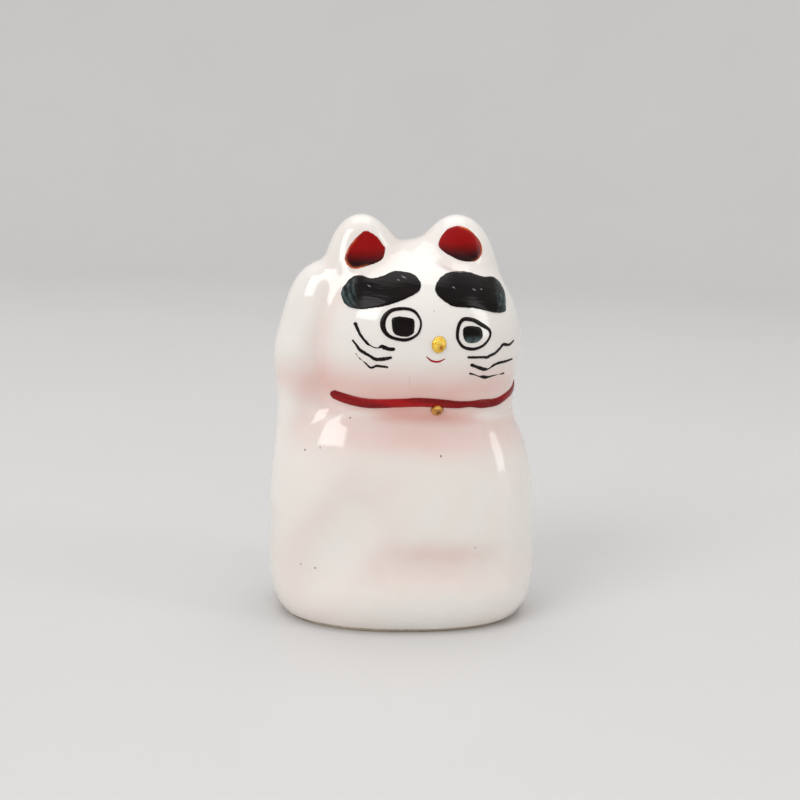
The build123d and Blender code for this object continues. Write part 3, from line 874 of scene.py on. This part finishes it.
def makeFloor():
    # a round pale floor that sweeps up into a wall: flat, then a quarter circle, then upright
    flat = np.linspace(0.02, studio["floorRadius"], 10)
    bend = np.linspace(0, np.pi / 2, 16)[1:]
    r = np.concatenate([flat, studio["floorRadius"] + studio["sweep"] * np.sin(bend),
                        [studio["floorRadius"] + studio["sweep"]]])
    z = np.concatenate([0 * flat, studio["sweep"] * (1 - np.cos(bend)), [studio["wall"]]])
    turn = np.linspace(0, 2 * np.pi, 96, endpoint=False)
    grid = np.stack([r[:, None] * np.cos(turn), r[:, None] * np.sin(turn), z[:, None] + 0 * turn], -1)
    points = np.concatenate([grid.reshape(-1, 3), [[0, 0, 0]]]) - [0, 0, 0.00005]
    j = np.arange(96)
    middle = np.stack([j * 0 + len(points) - 1, j, (j + 1) % 96], -1).tolist()
    mesh = bpy.data.meshes.new("floor")
    mesh.from_pydata(points.tolist(), [], ringFaces(len(r), 96)[:, ::-1].tolist() + middle)
    mesh.shade_smooth()
    floor = bpy.data.objects.new("floor", mesh)
    bpy.context.scene.collection.objects.link(floor)
    look = Finish("paleFloor", Roughness=0.5)
    look.feed("Base Color", look.mix(look.noise(6.0, 4.0), (0.66, 0.65, 0.64), (0.70, 0.69, 0.68)))
    mesh.materials.append(look.material)


def softLight(name, place, size, power, colour=(1, 1, 1), target=(0, 0, 0.042)):
    data = bpy.data.lights.new(name, "AREA")
    data.shape, data.size, data.size_y = "RECTANGLE", size[0], size[1]
    data.energy, data.color = power, colour
    light = bpy.data.objects.new(name, data)
    light.location = place
    light.rotation_euler = (Vector(target) - Vector(place)).to_track_quat("-Z", "Y").to_euler()
    bpy.context.scene.collection.objects.link(light)


def makeCamera():
    turn, rise, roll = (math.radians(studio[key]) for key in ("cameraTurn", "cameraRise", "roll"))
    aim = Vector((np.array(studio["aim"]) + frameShift) * mm)
    back = Vector((math.sin(turn) * math.cos(rise), -math.cos(turn) * math.cos(rise), math.sin(rise)))
    data = bpy.data.cameras.new("camera")
    data.lens, data.sensor_width, data.clip_start = studio["lens"], 36.0, 0.01
    camera = bpy.data.objects.new("camera", data)
    camera.location = aim + back * studio["distance"] * mm
    aimed = back.to_track_quat("Z", "Y").to_matrix() @ Matrix.Rotation(roll, 3, "Z")
    camera.rotation_euler = aimed.to_euler()
    bpy.context.scene.collection.objects.link(camera)
    bpy.context.scene.camera = camera


makeFloor()
makeCamera()
softLight("keyBox", (-0.75, -0.68, 0.80), (0.62, 0.66), 5.0)
softLight("sideBox", (0.80, -0.36, 0.42), (0.22, 0.72), 1.3)
softLight("topBox", (0.0, 0.10, 1.10), (0.90, 0.75), 3.0)
world = bpy.data.worlds.new("studioAir")
bpy.context.scene.world = world
world.use_nodes = True
world.node_tree.nodes["Background"].inputs["Color"].default_value = (0.97, 0.98, 1.0, 1)
world.node_tree.nodes["Background"].inputs["Strength"].default_value = 0.76
bpy.context.scene.view_settings.view_transform = "Standard"
print("floor, lights and camera placed")
